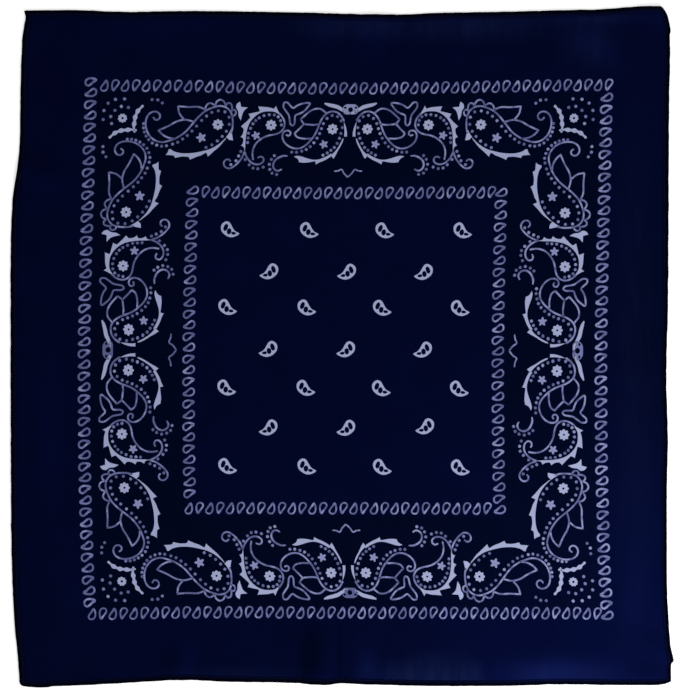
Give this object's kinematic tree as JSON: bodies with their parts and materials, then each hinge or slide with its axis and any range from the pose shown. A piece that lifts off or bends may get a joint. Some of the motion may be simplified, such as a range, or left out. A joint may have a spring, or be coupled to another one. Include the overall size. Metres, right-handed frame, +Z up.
{
  "type": "bandana",
  "caption": "Square printed cotton bandana with narrow turned hems, laid flat and face up, with a slightly uneven outline and soft low folds in its margins",
  "frame": {"origin": "middle of the underside, on the surface that the cloth rests on", "axes": "+Z is up, out of the printed face; +Y runs along the cloth to the upper edge of the print; +X runs across it to the right"},
  "size_m": [0.5563, 0.5722, 0.0037],
  "materials": {
    "navy_cotton": "plain-woven cotton, matt with a faint sheen",
    "navy_hem": "turned and stitched cotton edge, darker than the panel",
    "white_print": "flat white print on cotton, matt"
  },
  "bodies": {
    "root": {"panel": "navy_cotton", "hem_top": "navy_hem", "hem_bottom": "navy_hem", "hem_left": "navy_hem", "hem_right": "navy_hem"}
  },
  "joints": []
}
